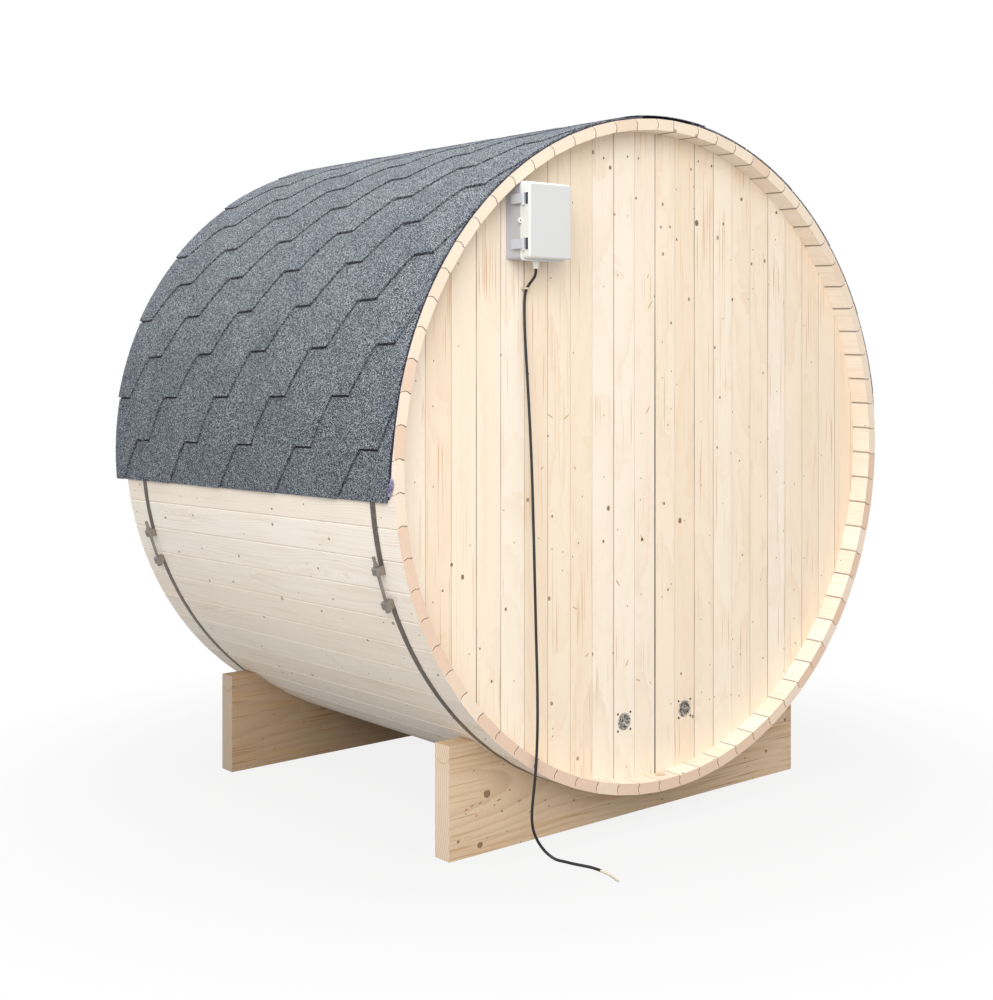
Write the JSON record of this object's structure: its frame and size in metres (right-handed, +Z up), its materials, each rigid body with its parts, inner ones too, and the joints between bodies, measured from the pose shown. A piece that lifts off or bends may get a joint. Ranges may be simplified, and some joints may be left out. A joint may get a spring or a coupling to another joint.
{
  "type": "outdoor barrel sauna",
  "caption": "Outdoor barrel sauna of jointed staves on two cradles, with a shingle roof, recessed end walls, a plank door and a cabled junction box on the service end.",
  "frame": {"origin": "on the floor, under the middle of the sauna's box without its cable", "axes": "+Z up, +Y along the barrel from the service end to the door end, +X to the right as seen from the service end"},
  "size_m": [2.0214, 1.8792, 2.1114],
  "materials": {
    "stave_spruce": "planed, unfinished",
    "wall_spruce": "planed, unfinished",
    "handle_wood": "sanded, unfinished",
    "cradle_spruce": "planed, unfinished",
    "plug_wood": "sanded, unfinished",
    "band_steel": "rolled, dull",
    "clamp_steel": "satin",
    "bitumen_shingle": "mineral granules, matte",
    "box_plastic": "moulded, fine satin",
    "white_plastic": "moulded, satin",
    "vent_mesh": "dull mesh",
    "cable_rubber": "smooth jacket",
    "tail_jacket": "bare inner sheath"
  },
  "bodies": {
    "root": {"band_far": "band_steel", "band_near": "band_steel", "box_base": "box_plastic", "cable_clip": "white_plastic", "cable_gland": "white_plastic", "cable_tail": "tail_jacket", "clamp_bolts_far": "clamp_steel", "clamp_bolts_near": "clamp_steel", "clamp_lugs_far": "clamp_steel", "clamp_lugs_near": "clamp_steel", "cradle_far": "cradle_spruce", "cradle_near": "cradle_spruce", "door_frame": "wall_spruce", "door_handle": "handle_wood", "door_hinges": "clamp_steel", "drain_plug": "plug_wood", "front_door": "wall_spruce", "front_wall_bottom": "wall_spruce", "front_wall_left": "wall_spruce", "front_wall_right": "wall_spruce", "front_wall_top": "wall_spruce", "hinge_pin": "clamp_steel", "power_cable": "cable_rubber", "rear_wall": "wall_spruce", "ridge_strip": "bitumen_shingle", "shingles_left": "bitumen_shingle", "shingles_right": "bitumen_shingle", "staves_01": "stave_spruce", "staves_02": "stave_spruce", "staves_03": "stave_spruce", "staves_04": "stave_spruce", "staves_05": "stave_spruce", "staves_06": "stave_spruce", "staves_07": "stave_spruce", "staves_08": "stave_spruce", "staves_09": "stave_spruce", "staves_10": "stave_spruce", "staves_11": "stave_spruce", "staves_12": "stave_spruce", "vent_left": "vent_mesh", "vent_right": "vent_mesh"},
    "box_lid": {"box_lid": "box_plastic"},
    "latch_upper": {"latch_upper": "box_plastic"},
    "latch_lower": {"latch_lower": "box_plastic"}
  },
  "joints": [
    {"name": "lid_hinge", "type": "hinge", "parent": "root", "child": "box_lid", "pos_m": [-0.417, -0.78575, 1.763], "axis": [0, 0, 1], "range_deg": [0, 110]},
    {"name": "upper_latch_pivot", "type": "hinge", "parent": "box_lid", "child": "latch_upper", "pos_m": [-0.581, -0.7945, 1.823], "axis": [0, 0, 1], "range_deg": [0, 30]},
    {"name": "lower_latch_pivot", "type": "hinge", "parent": "box_lid", "child": "latch_lower", "pos_m": [-0.581, -0.7945, 1.699], "axis": [0, 0, 1], "range_deg": [0, 100]}
  ]
}
